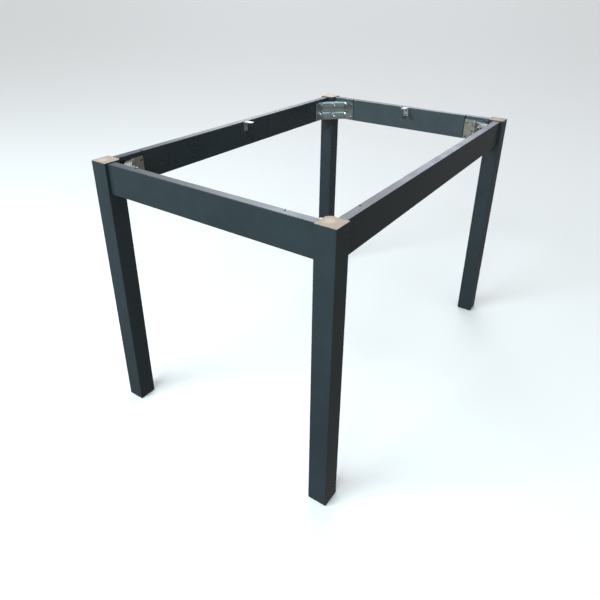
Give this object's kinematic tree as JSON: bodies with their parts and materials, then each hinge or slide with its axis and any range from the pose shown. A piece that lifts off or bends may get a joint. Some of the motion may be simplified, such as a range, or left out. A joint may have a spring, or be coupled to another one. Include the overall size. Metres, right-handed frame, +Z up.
{
  "type": "table frame",
  "caption": "Painted wooden dining table frame without its top: square legs and deep rails, joined by steel corner plates with hanger bolts.",
  "frame": {"origin": "middle of the footprint, on the floor", "axes": "+Z up, Y along the long rails, X along the short rails"},
  "size_m": [0.7, 1.093, 0.73],
  "materials": {
    "painted_wood": "satin anthracite paint, bare sawn leg tops",
    "zinc_steel": "zinc plated, pressed",
    "bolt_steel": "zinc plated",
    "screw_steel": "yellow passivated"
  },
  "bodies": {
    "root": {"clip_screws": "screw_steel", "corner_plate_front_left": "zinc_steel", "corner_plate_front_right": "zinc_steel", "corner_plate_rear_left": "zinc_steel", "corner_plate_rear_right": "zinc_steel", "hanger_bolts_front_left": "bolt_steel", "hanger_bolts_front_right": "bolt_steel", "hanger_bolts_rear_left": "bolt_steel", "hanger_bolts_rear_right": "bolt_steel", "hex_nuts_front_left": "bolt_steel", "hex_nuts_front_right": "bolt_steel", "hex_nuts_rear_left": "bolt_steel", "hex_nuts_rear_right": "bolt_steel", "leg_front_left": "painted_wood", "leg_front_right": "painted_wood", "leg_rear_left": "painted_wood", "leg_rear_right": "painted_wood", "plate_screws_front_left": "screw_steel", "plate_screws_front_right": "screw_steel", "plate_screws_rear_left": "screw_steel", "plate_screws_rear_right": "screw_steel", "rail_front": "painted_wood", "rail_left": "painted_wood", "rail_rear": "painted_wood", "rail_right": "painted_wood", "top_clip_left": "zinc_steel", "top_clip_rear": "zinc_steel", "washers_front_left": "bolt_steel", "washers_front_right": "bolt_steel", "washers_rear_left": "bolt_steel", "washers_rear_right": "bolt_steel"}
  },
  "joints": []
}
